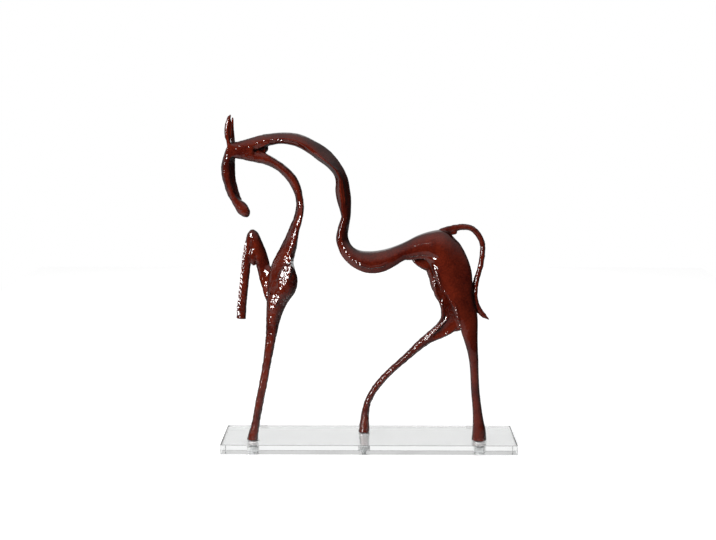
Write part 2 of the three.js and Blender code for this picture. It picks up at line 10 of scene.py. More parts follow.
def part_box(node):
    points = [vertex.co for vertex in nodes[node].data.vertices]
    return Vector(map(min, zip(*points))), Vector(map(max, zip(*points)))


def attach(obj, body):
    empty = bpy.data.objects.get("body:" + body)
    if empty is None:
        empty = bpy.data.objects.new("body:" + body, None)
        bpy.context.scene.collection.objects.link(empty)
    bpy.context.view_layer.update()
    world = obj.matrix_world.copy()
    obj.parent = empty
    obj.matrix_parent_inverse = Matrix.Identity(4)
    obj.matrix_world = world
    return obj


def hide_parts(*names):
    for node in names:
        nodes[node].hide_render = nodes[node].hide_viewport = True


# Abstract horse on a clear plate. Metres, +Z up, the nose towards -X, the near side towards -Y.
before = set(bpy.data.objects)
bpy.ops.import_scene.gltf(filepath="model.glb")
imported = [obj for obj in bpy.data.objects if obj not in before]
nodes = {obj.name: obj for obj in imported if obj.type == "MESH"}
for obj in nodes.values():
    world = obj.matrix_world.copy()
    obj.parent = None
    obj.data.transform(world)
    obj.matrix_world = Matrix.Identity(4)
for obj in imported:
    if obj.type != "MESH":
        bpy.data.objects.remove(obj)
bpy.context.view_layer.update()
plateLow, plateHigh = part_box("base_plate")
print("frame loaded,", len(nodes), "nodes")


# Small helpers

mm = 0.001


def newObject(name, mesh, material=None):
    obj = bpy.data.objects.new(name, mesh)
    bpy.context.scene.collection.objects.link(obj)
    if material:
        mesh.materials.clear()
        mesh.materials.append(material)
    return obj


def meshFrom(bm, name):
    mesh = bpy.data.meshes.new(name)
    bm.to_mesh(mesh)
    bm.free()
    return mesh


def appliedMesh(obj, name):
    graph = bpy.context.evaluated_depsgraph_get()
    mesh = bpy.data.meshes.new_from_object(obj.evaluated_get(graph), depsgraph=graph)
    mesh.name = name
    return mesh


def addNode(tree, kind, at, **settings):
    made = tree.nodes.new(kind)
    made.location = at
    for key, value in settings.items():
        if hasattr(made, key):
            setattr(made, key, value)
        else:
            made.inputs[key.replace("_", " ")].default_value = value
    return made


def newMaterial(name):
    # a material with an empty node tree and its output
    material = bpy.data.materials.new(name)
    material.use_nodes = True
    tree = material.node_tree
    tree.nodes.clear()
    return material, tree, addNode(tree, "ShaderNodeOutputMaterial", (900, 0))


# Horse skin: the castings drawn together into one smooth lacquered surface

skin = {
    "mergeUnder": 1e-6,
    "joinUnder": 24,         # degrees; triangles that lie as level as this become four-sided faces
    "joinSkew": 130,         # degrees
    "fillLevels": 3,         # of the balls that fill the forks
    "roundLevels": 2,        # of subdivision
    "creaseOver": 48,        # degrees; sharper edges of the castings stay as ridges
    "fatten": 0.00030,       # closes the seams between the castings
    "voxel": 0.00055,
    "rounds": 14,            # smoothing rounds, each one pass in and one out
    "smoothIn": 0.5,
    "smoothOut": -0.515,
    "slimBack": 0.00022,     # takes the fattening off again
    "evenRounds": 6,         # how often the seams between the castings are evened out
}

# How strongly each casting is hammered
hammered = {
    "head": 0.75,
    "near_ear": 0.4,
    "far_ear": 0.3,
    "crest_band": 0.3,
    "throat_band": 0.55,
    "back_band": 0.3,
    "near_foreleg": 0.85,
    "raised_foreleg": 0.7,
    "near_hind_leg": 0.18,
    "far_hind_leg": 1.0,
    "tail": 0.8,
}
castings = list(hammered)

# What the founder has left in the forks between two limbs, and the blunt ear tip: place and
# half sizes in millimetres
fills = {
    "knee fork": {"at": (-117.8, 4.4, 196.0), "size": (4.8, 3.4, 9.6)},
    "forearm root": {"at": (-102.8, 0.2, 174.5), "size": (6.4, 4.8, 12.0)},
    "hind fork": {"at": (89.0, 12.5, 121.0), "size": (6.0, 3.6, 4.2)},
    "tail fork": {"at": (84.0, -3.2, 221.4), "size": (5.0, 2.4, 2.4)},
    "window end": {"at": (-107.0, 2.8, 306.5), "size": (5.6, 1.6, 5.8)},
    "near ear": {"at": (-140.3, -4.9, 326.0), "size": (3.0, 1.6, 12.8)},
}


def joinedCastings():
    bm = bmesh.new()
    owners = []
    for index, name in enumerate(castings):
        bm.from_mesh(nodes[name].data)
        owners += [index] * (len(bm.faces) - len(owners))
    tree = BVHTree.FromBMesh(bm)
    bmesh.ops.remove_doubles(bm, verts=bm.verts, dist=skin["mergeUnder"])
    bmesh.ops.join_triangles(
        bm, faces=bm.faces, cmp_seam=False, cmp_sharp=False, cmp_uvs=False, cmp_vcols=False,
        cmp_materials=False,
        angle_face_threshold=math.radians(skin["joinUnder"]),
        angle_shape_threshold=math.radians(skin["joinSkew"]))
    crease = bm.edges.layers.float.new("crease_edge")
    for edge in bm.edges:
        if edge.is_manifold and edge.calc_face_angle(0) > math.radians(skin["creaseOver"]):
            edge[crease] = 1.0
    for fill in fills.values():
        place = Matrix.Translation(Vector(fill["at"]) * mm) @ Matrix.Diagonal((*Vector(fill["size"]) * mm, 1))
        bmesh.ops.create_icosphere(bm, subdivisions=skin["fillLevels"], radius=1, matrix=place)
    return meshFrom(bm, "castings"), tree, owners


def fusedSkin(mesh):
    obj = newObject("skin", mesh)
    rounder = obj.modifiers.new("rounder", "SUBSURF")
    rounder.levels = rounder.render_levels = skin["roundLevels"]
    fatter = obj.modifiers.new("fatter", "DISPLACE")
    fatter.mid_level = 0
    fatter.strength = skin["fatten"]
    voxels = obj.modifiers.new("voxels", "REMESH")
    voxels.mode = "VOXEL"
    voxels.voxel_size = skin["voxel"]
    fused = appliedMesh(obj, "fused")
    bpy.data.objects.remove(obj)
    return fused


def dropCrumbs(bm):
    # only the one large shell stays
    unseen = set(bm.verts)
    shells = []
    while unseen:
        first = unseen.pop()
        shell = [first]
        todo = [first]
        while todo:
            for edge in todo.pop().link_edges:
                for vert in edge.verts:
                    if vert in unseen:
                        unseen.remove(vert)
                        shell.append(vert)
                        todo.append(vert)
        shells.append(shell)
    shells.sort(key=len)
    for shell in shells[:-1]:
        bmesh.ops.delete(bm, geom=shell, context="VERTS")


def smoothed(bm):
    for _ in range(skin["rounds"]):
        for factor in (skin["smoothIn"], skin["smoothOut"]):
            bmesh.ops.smooth_vert(bm, verts=bm.verts, factor=factor,
                                  use_axis_x=True, use_axis_y=True, use_axis_z=True)
    bm.normal_update()
    for vert in bm.verts:
        vert.co -= vert.normal * skin["slimBack"]
    bm.normal_update()


castingMesh, castingTree, castingOwners = joinedCastings()
skinShape = bmesh.new()
skinShape.from_mesh(fusedSkin(castingMesh))
dropCrumbs(skinShape)
smoothed(skinShape)
print("skin fused,", len(skinShape.verts), "vertices")


# Which casting each face of the skin belongs to

def ownersOfFaces(bm):
    bm.faces.ensure_lookup_table()
    found = [castingOwners[castingTree.find_nearest(face.calc_center_median())[2]] for face in bm.faces]
    for _ in range(skin["evenRounds"]):
        # a face that juts into its neighbour goes over to it, so the seams run even
        changed = 0
        for face in bm.faces:
            around = [found[other.index] for edge in face.edges
                      for other in edge.link_faces if other is not face]
            commonest = max(set(around), key=around.count)
            if commonest != found[face.index] and around.count(commonest) > 2:
                found[face.index] = commonest
                changed += 1
        if not changed:
            break
    return found


skinShape.faces.index_update()
faceOwners = ownersOfFaces(skinShape)
print("skin shared out over", len(castings), "castings")


# Strokes that model the skin as a sculptor's tool would. Each follows a path across the near
# side, its places (x, z) in millimetres, and fades out over "taper" at both ends. "behind" and
# "ahead" keep a stroke to what lies beyond or before that depth.

touch = {
    "depth": 40,             # millimetres, deeper than the horse is at either side
    "leanFade": 4,           # millimetres over which a lean ends at its sides
    "depthFade": 6,          # and at the depth that it is kept to
    "rimSide": 2,            # a rim is full where the skin faces the near side by one over this
    "flatEdge": 1.25,        # of a facet's half sizes, where it has wholly ended
    "flatFade": 0.5,
    "levelFrom": 40,         # vertices in a facet's middle that set its level
    "calmSide": 0.2,         # a calm leaves what faces away more than this
    "calmDraw": 0.6,         # share of its reach that a calm draws in by
    "calmStep": 5,           # rounds from one drawing in to the next
    "calmPull": 0.5,         # how far a vertex goes towards its neighbours in a round
}

leans = {
    "throat": {
        "path": [(-71.9, 253.9), (-77.1, 231.6), (-81.3, 213.2), (-86.5, 192.7), (-91.8, 172.1),
                 (-97.1, 151.5)],
        "reach": 34, "fade": 20, "taper": 16, "turn": 0.60, "limit": 11,
    },
    "raised shin": {
        "path": [(-124, 214), (-127.5, 190), (-130.5, 165), (-133.5, 130)],
        "reach": 7, "taper": 10, "turn": -0.12,
    },
    "standing foreleg": {
        "path": [(-101, 138), (-105, 115), (-109, 85), (-113, 55), (-117, 25)],
        "reach": 8, "taper": 14, "turn": -0.22,
    },
    "muzzle": {
        "path": [(-140, 300), (-142, 285), (-139, 270), (-134, 258)],
        "reach": 7, "taper": 10, "turn": -0.30,
    },
    "thigh": {
        "path": [(58, 244), (72, 214), (80, 192), (87, 165), (94, 135), (99, 100)],
        "reach": 28, "fade": 14, "taper": 20, "turn": -0.30, "limit": 9, "ahead": -2, "bend": 8,
    },
}

swells = {
    "shin": {"path": [(-124.5, 204), (-126.0, 188), (-128.0, 168)], "width": 3, "taper": 8, "height": 0.5},
    "forearm": {"path": [(-116, 190), (-111, 178), (-106, 163)], "width": 4, "taper": 6, "height": 0.9},
    "rump": {"path": [(88.5, 217.5), (97.5, 198), (103, 176), (104, 162)], "width": 4, "taper": 8,
             "height": 0.8},
    "flank": {"path": [(36, 195), (46, 191.5), (56.5, 184), (62.8, 172), (66, 158)], "width": 4, "taper": 6,
              "height": 1.0},
    "tail end": {"path": [(107, 148), (113, 140), (118, 135.5)], "width": 4, "taper": 3, "height": 0.7},
    "near ear": {"path": [(-141.5, 335), (-143.5, 326), (-143, 314)], "width": 3, "taper": 4, "height": 0.6},
}

rims = {
    "throat rim": {
        "path": [(-67.5, 264.6), (-67.0, 250.5), (-68.3, 239.0), (-70.0, 226.0), (-71.6, 211.0),
                 (-73.8, 200.0)],
        "width": 1.0, "taper": 8, "height": 0.5,
    },
    "shoulder ridge": {
        "path": [(-76.5, 198), (-79.5, 188), (-82.9, 179), (-89, 167), (-95.3, 153.2), (-99.5, 135)],
        "width": 4.5, "taper": 14, "height": 1.5,
    },
    "crest rim": {
        "path": [(-99, 314.7), (-86, 316.5), (-73, 314.2), (-63, 308), (-53, 299.8), (-41, 291.4),
                 (-32, 284.2), (-27, 274), (-25, 260), (-23.8, 247)],
        "width": 1.2, "taper": 8, "height": 0.8,
    },
    "back rim": {
        "path": [(-28.8, 222.5), (-27.3, 211.3), (-23.3, 202.2), (-17.3, 194.6), (-9.2, 189.5), (0.9, 186.9),
                 (12.0, 188.5), (23.1, 193.6)],
        "width": 1.3, "taper": 8, "height": 0.9,
    },
    "forearm root": {
        "path": [(-113, 196), (-107, 182), (-103, 168), (-101, 154)],
        "width": 5.5, "taper": 16, "height": 0.8, "along": (0, -1, 0),
    },
    "thigh": {
        "path": [(60, 244), (72, 214), (79, 192), (86, 165), (94, 130), (99, 95)],
        "width": 13.0, "taper": 24, "height": 1.2, "along": (0, -1, 0),
    },
    "knee crease": {
        "path": [(-119.5, 214), (-121.0, 205), (-122.0, 194), (-119.0, 187)],
        "width": 1.0, "taper": 5, "height": -0.5,
    },
    "window lip, upper": {
        "path": [(-115, 305.5), (-109, 307.5), (-103.5, 310.5), (-98, 312.5)],
        "width": 1.1, "taper": 4, "height": 1.0,
    },
    "window lip, lower": {
        "path": [(-114, 304), (-108, 302), (-103, 299.5), (-97, 296)],
        "width": 1.1, "taper": 4, "height": 1.0,
    },
    "window hollow": {
        "path": [(-112, 304.8), (-108, 305.0), (-103, 305.5)],
        "width": 1.8, "taper": 3, "height": -0.7,
    },
    "thigh lip": {
        "path": [(62.2, 192.8), (66.3, 186.7), (68.4, 179.6), (71.5, 169.4), (79.6, 158.2), (86.8, 148.0),
                 (90.0, 135.7), (92.1, 123.4), (96.3, 113.1)],
        "width": 1.0, "taper": 14, "height": 1.6,
    },
    "web rim": {
        "path": [(65.1, 187.2), (68.2, 180.0), (67.2, 168.0), (68.4, 154.2), (73.5, 147.0), (76.3, 134.0),
                 (72.7, 125.1), (65.6, 117.8), (52.4, 106.3)],
        "width": 1.8, "taper": 8, "height": 0.7, "behind": -8,
    },
    "flank fold": {
        "path": [(31.1, 197.3), (42.1, 196.3), (52.2, 198.4), (63.2, 198.4), (73.3, 196.4)],
        "width": 1.6, "taper": 10, "height": -0.6,
    },
}

# Flat places that the tool has left
facets = {
    "shoulder, upper": {"at": (-83.0, 182.5), "size": (5.5, 14.0), "slope": 28,
                        "normal": (-0.29, -0.94, 0.18)},
    "shoulder, lower": {"at": (-95.5, 153.5), "size": (4.0, 9.5), "slope": 22,
                        "normal": (-0.29, -0.94, 0.18)},
    "brow": {"at": (-138.5, 304.0), "size": (5.0, 6.5), "slope": 0, "normal": (-0.08, -0.99, -0.06)},
    "chest": {"at": (-81.0, 195), "size": (3.5, 5.5), "slope": 24, "normal": (-0.38, -0.90, 0.12)},
    "web": {"at": (74.4, 148.5), "size": (1.1, 4.0), "slope": -6,
            "normal": (-0.36, -0.90, 0.24), "behind": -8},
}

# Rows of small flat blows, one after the other along a path
rows = {
    "shin": {"path": [(-126.0, 208), (-128.0, 196), (-130.2, 180), (-132.2, 160), (-134.6, 133)],
             "step": 4.6, "size": (1.5, 3.2), "slope": -6, "normal": (-0.26, -0.94, 0.22)},
    "back rim": {"path": [(-27.3, 211.3), (-23.3, 203.0), (-17.3, 195.6), (-9.2, 190.5), (-2, 188.5)],
                 "step": 5.5, "size": (1.0, 2.4), "slope": -30, "normal": (-0.32, -0.92, 0.21)},
    "crest": {"path": [(-97.2, 315.6), (-91.2, 315.1), (-84.2, 313.6)],
              "step": 4.5, "size": (1.6, 0.9), "slope": 0, "normal": (-0.30, -0.93, 0.21)},
    "thigh lip": {"path": [(66.3, 186.7), (68.4, 179.6), (71.5, 169.4), (79.6, 158.2), (86.8, 148.0),
                           (90.0, 135.7), (92.1, 123.4)],
                  "step": 3.4, "size": (0.8, 2.6), "slope": -28, "normal": (-0.38, -0.90, 0.23), "ahead": -8},
    "web": {"path": [(65.4, 182.8), (66.3, 173.6), (66.7, 164.2)],
            "step": 3.6, "size": (1.3, 3.0), "slope": -4, "normal": (-0.36, -0.90, 0.24), "behind": -8},
    "far leg": {"path": [(79.0, 131.5), (72.9, 124.0), (64.7, 115.7), (56.6, 107.3)],
                "step": 3.8, "size": (2.4, 2.8), "slope": 43, "normal": (-0.36, -0.90, 0.24), "behind": -8},
}

# Places where the tool has smoothed the skin over
calms = {
    "croup": {"at": (46, 211), "reach": 26, "rounds": 70},
    "flank": {"at": (64, 194), "reach": 11, "rounds": 60},
    "knee": {"at": (-115, 203), "reach": 9, "rounds": 6},
    "forearm root": {"at": (-103.0, 180), "reach": 9, "rounds": 20},
    "hind fork": {"at": (84, 123), "reach": 8, "rounds": 6},
    "brow": {"at": (-136, 304), "reach": 8, "rounds": 4},
    "nostril": {"at": (-127.5, 251.5), "reach": 5, "rounds": 6},
}


def skinArrays(bm):
    places = np.array([vert.co for vert in bm.verts])
    normals = np.array([vert.normal for vert in bm.verts])
    return places, normals


def putBack(bm, places):
    for vert, place in zip(bm.verts, places):
        vert.co = place
    bm.normal_update()


def faded(value):
    value = np.clip(value, 0, 1)
    return value * value * (3 - 2 * value)


def alongPath(places, path):
    # how far each place lies from the path and aside of it, and how far along it, with the path's length
    flat = places[:, [0, 2]]
    corners = np.array(path) * mm
    gap = np.full(len(flat), np.inf)
    aside = np.zeros(len(flat))
    reached = np.zeros(len(flat))
    start = 0
    for one, two in zip(corners, corners[1:]):
        run = two - one
        length = math.hypot(*run)
        share = np.clip((flat - one) @ run / length ** 2, 0, 1)
        off = flat - one - share[:, None] * run
        distance = np.hypot(off[:, 0], off[:, 1])
        closer = distance < gap
        gap[closer] = distance[closer]
        aside[closer] = (off @ np.array([run[1], -run[0]]) / length)[closer]
        reached[closer] = start + (share * length)[closer]
        start += length
    return gap, aside, reached, start


def within(places, stroke):
    # strokes on the far leg keep off the near thigh in front of it, and the other way round
    depth = places[:, 1]
    behind = stroke.get("behind", -touch["depth"]) * mm
    ahead = stroke.get("ahead", touch["depth"]) * mm
    return (depth > behind) & (depth < ahead)


def lean(places, stroke):
    # turns the band about its own line, so that its near face looks a little forwards or backwards
    gap, aside, reached, length = alongPath(places, stroke["path"])
    if "bend" in stroke:
        # only the half behind the line turns, with a soft bend along the line
        bend = stroke["bend"] * mm
        aside = np.where(aside < -bend, aside, -np.maximum(bend - aside, 0) ** 2 / (4 * bend))
    if "limit" in stroke:
        # far from the line the shift stays level
        limit = stroke["limit"] * mm
        aside = limit * np.tanh(aside / limit)
    weight = faded((stroke["reach"] * mm - gap) / (stroke.get("fade", touch["leanFade"]) * mm))
    weight *= faded(np.minimum(reached, length - reached) / (stroke["taper"] * mm))
    ahead = stroke.get("ahead", touch["depth"]) * mm
    weight *= faded((ahead - places[:, 1]) / (touch["depthFade"] * mm))
    places[:, 1] += stroke["turn"] * aside * weight


def swell(places, normals, stroke):
    # pushes the outline out, but not the near and far faces
    gap, _, reached, length = alongPath(places, stroke["path"])
    weight = np.exp(-(gap / (stroke["width"] * mm)) ** 2)
    weight *= faded(np.minimum(reached, length - reached) / (stroke["taper"] * mm))
    places += normals * (1, 0, 1) * (stroke["height"] * mm * weight)[:, None]


def rim(places, normals, stroke):
    gap, _, reached, length = alongPath(places, stroke["path"])
    weight = np.exp(-(gap / (stroke["width"] * mm)) ** 2) * np.clip(-normals[:, 1] * touch["rimSide"], 0, 1)
    weight *= within(places, stroke)
    weight *= faded(np.minimum(reached, length - reached) / (stroke["taper"] * mm))
    places += np.array(stroke.get("along", normals)) * (stroke["height"] * mm * weight)[:, None]


def facet(places, normals, stroke):
    turn = math.radians(stroke["slope"])
    offX = places[:, 0] - stroke["at"][0] * mm
    offZ = places[:, 2] - stroke["at"][1] * mm
    wide = (offX * math.cos(turn) - offZ * math.sin(turn)) / (stroke["size"][0] * mm)
    tall = (offX * math.sin(turn) + offZ * math.cos(turn)) / (stroke["size"][1] * mm)
    spread = np.sqrt(wide ** 2 + tall ** 2)
    facing = within(places, stroke) & (normals[:, 1] < 0)
    weight = faded((touch["flatEdge"] - spread) / touch["flatFade"]) * facing
    middle = np.argsort(np.where(facing, spread, np.inf))[:touch["levelFrom"]]
    flat = np.array(Vector(stroke["normal"]).normalized())
    level = np.median(places[middle] @ flat)
    places -= flat * ((places @ flat - level) * weight)[:, None]


def row(places, normals, stroke):
    corners = [Vector(corner) for corner in stroke["path"]]
    for one, two in zip(corners, corners[1:]):
        count = max(1, round((two - one).length / stroke["step"]))
        for blow in range(count):
            facet(places, normals, {**stroke, "at": one.lerp(two, blow / count)})


def calm(bm, stroke):
    middle = Vector((stroke["at"][0] * mm, stroke["at"][1] * mm))
    near = [vert for vert in bm.verts
            if vert.normal.y < touch["calmSide"] and (vert.co.xz - middle).length < stroke["reach"] * mm]
    for done in range(stroke["rounds"]):
        # the rounds draw in towards the middle, so that the edge stays soft
        if (done + 1) % touch["calmStep"] == 0:
            reach = stroke["reach"] * mm * (1 - touch["calmDraw"] * done / stroke["rounds"])
            near = [vert for vert in near if (vert.co.xz - middle).length < reach]
        bmesh.ops.smooth_vert(bm, verts=near, factor=touch["calmPull"],
                              use_axis_x=True, use_axis_y=True, use_axis_z=True)
    bm.normal_update()


def model(bm):
    for stroke in calms.values():
        calm(bm, stroke)
    places, normals = skinArrays(bm)
    for stroke in leans.values():
        lean(places, stroke)
    for stroke in swells.values():
        swell(places, normals, stroke)
    for stroke in rims.values():
        rim(places, normals, stroke)
    for stroke in facets.values():
        facet(places, normals, stroke)
    for stroke in rows.values():
        row(places, normals, stroke)
    putBack(bm, places)


model(skinShape)
print("skin modelled")


# Soft lumps and hammer dents, real in the surface, and how deep each place lies in a hollow, for the painted
# shade

lumps = {
    "size": 0.0050,          # of the soft lumps
    "height": 0.00045,
    "dentSize": 0.0014,      # of the hammer's dents
    "dentHeight": 0.00030,
    "spread": 14,            # how softly the strength runs over from one casting to the next
    "spreadShare": 0.5,
    "hollowSpread": 24,      # how far round a hollow is felt
    "hollowFull": 0.0007,    # the depth at which the painted shade in a hollow is full
    "dentShift": (7, 3, 5),  # so that dents and lumps don't run together
    "calmFrom": 1.4,         # of a calm's reach, from where the hammering grows weaker
    "calmShare": 0.85,       # the share of it that a calm takes off
}


def spreadOut(values, ends, around, share=1):
    # each vertex takes on a share of what its neighbours hold
    total = np.bincount(ends[:, 0], values[ends[:, 1]], len(values))
    total += np.bincount(ends[:, 1], values[ends[:, 0]], len(values))
    return (1 - share) * values + share * total / np.maximum(around, 1)


def hammer(bm):
    strength = np.zeros(len(bm.verts))
    counts = np.zeros(len(bm.verts))
    bm.verts.index_update()
    for face in bm.faces:
        for vert in face.verts:
            strength[vert.index] += hammered[castings[faceOwners[face.index]]]
            counts[vert.index] += 1
    strength /= np.maximum(counts, 1)
    ends = np.array([[edge.verts[0].index, edge.verts[1].index] for edge in bm.edges])
    around = np.bincount(ends.ravel(), minlength=len(strength))
    for _ in range(lumps["spread"]):
        strength = spreadOut(strength, ends, around, lumps["spreadShare"])
    places, normals = skinArrays(bm)
    mean = places.copy()
    for _ in range(lumps["hollowSpread"]):
        for axis in range(3):
            mean[:, axis] = spreadOut(mean[:, axis], ends, around)
    # how deep each vertex lies in a hollow, kept so that the lacquer can paint shade there
    hollow = ((mean - places) * normals).sum(axis=1) / lumps["hollowFull"]
    hollowShadeLayer = bm.verts.layers.float.new("hollow")
    # a calm also weakens the hammering and takes the painted shade out of its hollows
    for stroke in calms.values():
        away = np.hypot(places[:, 0] - stroke["at"][0] * mm, places[:, 2] - stroke["at"][1] * mm)
        near = faded(lumps["calmFrom"] - away / (stroke["reach"] * mm)) * (normals[:, 1] < touch["calmSide"])
        strength *= 1 - lumps["calmShare"] * near
        hollow *= 1 - near
    kept = bm.verts.layers.float.new("hammered")
    for vert in bm.verts:
        soft = noise.noise(vert.co / lumps["size"])
        dent = noise.noise(vert.co / lumps["dentSize"] + Vector(lumps["dentShift"]))
        rise = lumps["height"] * soft + lumps["dentHeight"] * dent
        vert.co += vert.normal * (rise * strength[vert.index])
        vert[kept] = strength[vert.index]
        vert[hollowShadeLayer] = min(max(hollow[vert.index], 0), 1)
    bm.normal_update()


hammer(skinShape)
print("skin hammered")


# Lacquer of the horse, with painted shade towards the outline and in the hollows

lacquer = {
    "deep": (0.060, 0.0042, 0.0019, 1),
    "warm": (0.170, 0.0178, 0.0060, 1),
    "paintedShade": (0.010, 0.0014, 0.0010, 1),     # painted shade, towards the outline and in the hollows
    "ior": 1.6,
    "roughness": 0.06,
    "outlineShade": 0.6,           # how soon the painted shade sets in towards the outline
    "cloud": 45,             # per metre, the slow change of depth in the colour
    "fleck": 650,            # and the fine one
    "fleckShare": 0.35,
    "cloudDetail": 3,
    "fineDetail": 1,
    "contrast": (0.36, 0.64),        # the noise that gives the deep colour, and the warm one
    "grain": 520,            # per metre, the fine unevenness that breaks the highlights
    "grainDepth": 0.00035,
    "grainShare": 0.7,
    "grainRoughness": 0.4,
}


def lacquerMaterial():
    material, tree, out = newMaterial("horseLacquer")
    shader = addNode(tree, "ShaderNodeBsdfPrincipled", (600, 0), Roughness=lacquer["roughness"],
                     IOR=lacquer["ior"])
    place = addNode(tree, "ShaderNodeTexCoord", (-700, 0))
    cloud = addNode(tree, "ShaderNodeTexNoise", (-450, 350), Scale=lacquer["cloud"],
                    Detail=lacquer["cloudDetail"])
    fleck = addNode(tree, "ShaderNodeTexNoise", (-450, 50), Scale=lacquer["fleck"],
                    Detail=lacquer["fineDetail"])
    mottle = addNode(tree, "ShaderNodeMix", (-150, 200), Factor=lacquer["fleckShare"])
    sharper = addNode(tree, "ShaderNodeMapRange", (50, 200), From_Min=lacquer["contrast"][0],
                      From_Max=lacquer["contrast"][1])
    tint = addNode(tree, "ShaderNodeMix", (250, 200), data_type="RGBA")
    tint.inputs[6].default_value = lacquer["deep"]
    tint.inputs[7].default_value = lacquer["warm"]
    # painted shade: the colour goes near black where the skin turns away towards the outline, and in the
    # hollows
    outlineShade = addNode(tree, "ShaderNodeLayerWeight", (-450, 600), Blend=lacquer["outlineShade"])
    # the painted shade in the hollows
    hollowShade = addNode(tree, "ShaderNodeAttribute", (-450, 800), attribute_name="hollow")
    paintedShadeAmount = addNode(tree, "ShaderNodeMath", (0, 600), operation="MAXIMUM")
    shadedTint = addNode(tree, "ShaderNodeMix", (420, 300), data_type="RGBA")
    shadedTint.inputs[7].default_value = lacquer["paintedShade"]
    grain = addNode(tree, "ShaderNodeTexNoise", (-450, -250), Scale=lacquer["grain"],
                    Detail=lacquer["fineDetail"], Roughness=lacquer["grainRoughness"])
    blows = addNode(tree, "ShaderNodeAttribute", (-450, -500), attribute_name="hammered")
    depth = addNode(tree, "ShaderNodeMath", (0, -300), operation="MULTIPLY")
    bump = addNode(tree, "ShaderNodeBump", (250, -250), Strength=lacquer["grainShare"],
                   Distance=lacquer["grainDepth"])
    links = tree.links
    links.new(place.outputs["Object"], cloud.inputs["Vector"])
    links.new(place.outputs["Object"], grain.inputs["Vector"])
    links.new(place.outputs["Object"], fleck.inputs["Vector"])
    links.new(cloud.outputs["Fac"], mottle.inputs[2])
    links.new(fleck.outputs["Fac"], mottle.inputs[3])
    links.new(mottle.outputs[0], sharper.inputs[0])
    links.new(sharper.outputs[0], tint.inputs[0])
    links.new(outlineShade.outputs["Facing"], paintedShadeAmount.inputs[0])
    links.new(hollowShade.outputs["Fac"], paintedShadeAmount.inputs[1])
    links.new(paintedShadeAmount.outputs[0], shadedTint.inputs[0])
    links.new(tint.outputs[2], shadedTint.inputs[6])
    links.new(shadedTint.outputs[2], shader.inputs["Base Color"])
    links.new(grain.outputs["Fac"], depth.inputs[0])
    links.new(blows.outputs["Fac"], depth.inputs[1])
    links.new(depth.outputs[0], bump.inputs["Height"])
    links.new(bump.outputs["Normal"], shader.inputs["Normal"])
    links.new(shader.outputs["BSDF"], out.inputs["Surface"])
    return material


horseLacquer = lacquerMaterial()


# The skin comes apart into one closed piece per casting

def castingPiece(bm, index):
    name = castings[index]
    piece = bm.copy()
    piece.faces.index_update()
    normalLayer = piece.verts.layers.float_vector.new("skinNormal")
    for vert in piece.verts:
        vert[normalLayer] = vert.normal
    others = [face for face in piece.faces if faceOwners[face.index] != index]
    bmesh.ops.delete(piece, geom=others, context="FACES")
    openEdges = [edge for edge in piece.edges if edge.is_boundary]
    bmesh.ops.holes_fill(piece, edges=openEdges, sides=0)
    mesh = meshFrom(piece, "horse_" + name)
    mesh.polygons.foreach_set("use_smooth", [True] * len(mesh.polygons))
    normals = np.empty(len(mesh.vertices) * 3, dtype=np.float32)
    mesh.attributes["skinNormal"].data.foreach_get("vector", normals)
    mesh.attributes.remove(mesh.attributes["skinNormal"])
    mesh.normals_split_custom_set_from_vertices(normals.reshape(-1, 3))
    obj = newObject("horse_" + name, mesh, horseLacquer)
    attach(obj, "root")
    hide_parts(name)
    return obj


for castingIndex in range(len(castings)):
    castingPiece(skinShape, castingIndex)
skinShape.free()
print("castings made")


# Clear plate: polished acrylic with softly broken edges, and a drilled hole under each foot

plate = {
    "edge": 0.0006,          # how far each edge is broken
    "edgeSegments": 3,
    "bore": 0.0120,          # across the counterbore for a washer
    "boreDepth": 0.0050,
    "hole": 0.0048,          # across the hole for a screw
    "sides": 96,
    "near": 0.0001,          # what counts as on the drill's wall, or on the top or underside
    "level": 0.9999,         # of a level face's normal, along its own axis
    "sharpOver": 35,         # degrees
}
feet = ("front", "middle", "rear")

clear = {
    "colour": (0.985, 0.995, 0.992, 1),
    "ior": 1.49,
    "drilledColour": (0.90, 0.91, 0.91, 1),
    "drilledRoughness": 0.5,
    "drilledThrough": 0.55,
}


def acrylic(name, colour, roughness, through):
    material, tree, out = newMaterial(name)
    shader = addNode(tree, "ShaderNodeBsdfPrincipled", (200, 0), Roughness=roughness, IOR=clear["ior"])
    shader.inputs["Base Color"].default_value = colour
    shader.inputs["Transmission Weight"].default_value = through
    tree.links.new(shader.outputs["BSDF"], out.inputs["Surface"])
    return material


def footPlace(foot):
    low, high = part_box(foot + "_foot_screw")
    return (low + high) / 2


def addDrill(bm, place, diameter, low, high):
    made = bmesh.ops.create_cone(bm, cap_ends=True, segments=plate["sides"], radius1=diameter / 2,
                                 radius2=diameter / 2, depth=high - low)
    bmesh.ops.translate(bm, vec=(place.x, place.y, (low + high) / 2), verts=made["verts"])


def drills():
    bores = bmesh.new()
    holes = bmesh.new()
    for foot in feet:
        place = footPlace(foot)
        addDrill(bores, place, plate["bore"], -plate["boreDepth"], plate["boreDepth"])
        addDrill(holes, place, plate["hole"], -plateHigh.z, 2 * plateHigh.z)
    return [newObject("bores", meshFrom(bores, "bores")), newObject("holes", meshFrom(holes, "holes"))]


def plateBlock():
    bm = bmesh.new()
    bmesh.ops.create_cube(bm, size=1)
    bmesh.ops.scale(bm, vec=plateHigh - plateLow, verts=bm.verts)
    bmesh.ops.translate(bm, vec=(plateHigh + plateLow) / 2, verts=bm.verts)
    bmesh.ops.bevel(bm, geom=bm.edges, offset=plate["edge"], offset_type="OFFSET", affect="EDGES",
                    segments=plate["edgeSegments"], profile=0.5, material=-1)
    return newObject("plateBlock", meshFrom(bm, "plateBlock"))


